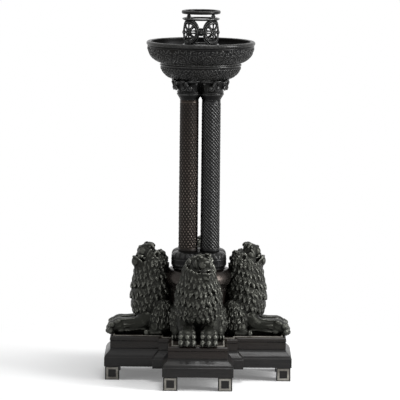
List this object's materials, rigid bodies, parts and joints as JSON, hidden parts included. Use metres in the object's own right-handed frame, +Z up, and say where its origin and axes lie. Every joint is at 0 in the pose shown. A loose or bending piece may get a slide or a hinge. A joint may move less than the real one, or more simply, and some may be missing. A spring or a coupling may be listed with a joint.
{
  "type": "column candelabrum",
  "caption": "Free-standing table candelabrum: stepped cross plinth on square feet, seated lions round a pedestal, clustered columns, stacked shallow bowls and a pierced candle crown.",
  "frame": {"origin": "on the floor under the middle of the plinth", "axes": "+Z up along the columns, -Y towards the front lion, +X towards the right lion"},
  "size_m": [0.2266, 0.2266, 0.4438],
  "materials": {
    "ebonised_wood": "ebonised and polished, slightly worn",
    "ebonised_block": "ebonised and polished, reddish brown showing through",
    "pale_line": "pale inlaid line, satin",
    "lion_bronze": "olive black patinated cast bronze, rubbed on the high parts",
    "dark_bronze": "blue black patinated cast bronze",
    "brown_bronze": "brown patinated cast bronze",
    "steel": "plain steel fastener"
  },
  "bodies": {
    "stand": {"foot_right_front": "ebonised_wood", "foot_right_back": "ebonised_wood", "foot_back_right": "ebonised_wood", "foot_back_left": "ebonised_wood", "foot_left_back": "ebonised_wood", "foot_left_front": "ebonised_wood", "foot_front_left": "ebonised_wood", "foot_front_right": "ebonised_wood", "foot_right_front_end_line": "pale_line", "foot_right_front_side_line": "pale_line", "foot_right_back_end_line": "pale_line", "foot_right_back_side_line": "pale_line", "foot_back_right_end_line": "pale_line", "foot_back_right_side_line": "pale_line", "foot_back_left_end_line": "pale_line", "foot_back_left_side_line": "pale_line", "foot_left_back_end_line": "pale_line", "foot_left_back_side_line": "pale_line", "foot_left_front_end_line": "pale_line", "foot_left_front_side_line": "pale_line", "foot_front_left_end_line": "pale_line", "foot_front_left_side_line": "pale_line", "foot_front_right_end_line": "pale_line", "foot_front_right_side_line": "pale_line", "plinth_moulding": "ebonised_wood", "plinth_block": "ebonised_block", "plinth_stringing": "pale_line", "pedestal_drum": "dark_bronze", "pedestal_shoulder": "dark_bronze", "pedestal_bolt": "steel", "lion_right": "lion_bronze", "lion_back": "lion_bronze", "lion_left": "lion_bronze", "lion_front": "lion_bronze", "lion_screw_right": "steel", "lion_screw_back": "steel", "lion_screw_left": "steel", "lion_screw_front": "steel", "column_base": "dark_bronze", "column_front_left": "brown_bronze", "column_front_right": "dark_bronze", "column_back_right": "brown_bronze", "column_back_left": "dark_bronze", "tie_rod_front_left": "steel", "tie_rod_front_right": "steel", "tie_rod_back_right": "steel", "tie_rod_back_left": "steel", "tie_nut_front_left": "steel", "tie_nut_front_right": "steel", "tie_nut_back_right": "steel", "tie_nut_back_left": "steel", "capital_block": "dark_bronze", "lower_bowl": "dark_bronze", "bowl_screw": "steel", "upper_bowl": "dark_bronze"},
    "crown": {"crown_pan": "dark_bronze", "crown_gallery": "dark_bronze", "crown_rim": "dark_bronze"}
  },
  "joints": [
    {"name": "crown_lift", "type": "slide", "parent": "stand", "child": "crown", "axis": [0, 0, 1], "range_m": [0, 0.009]}
  ]
}
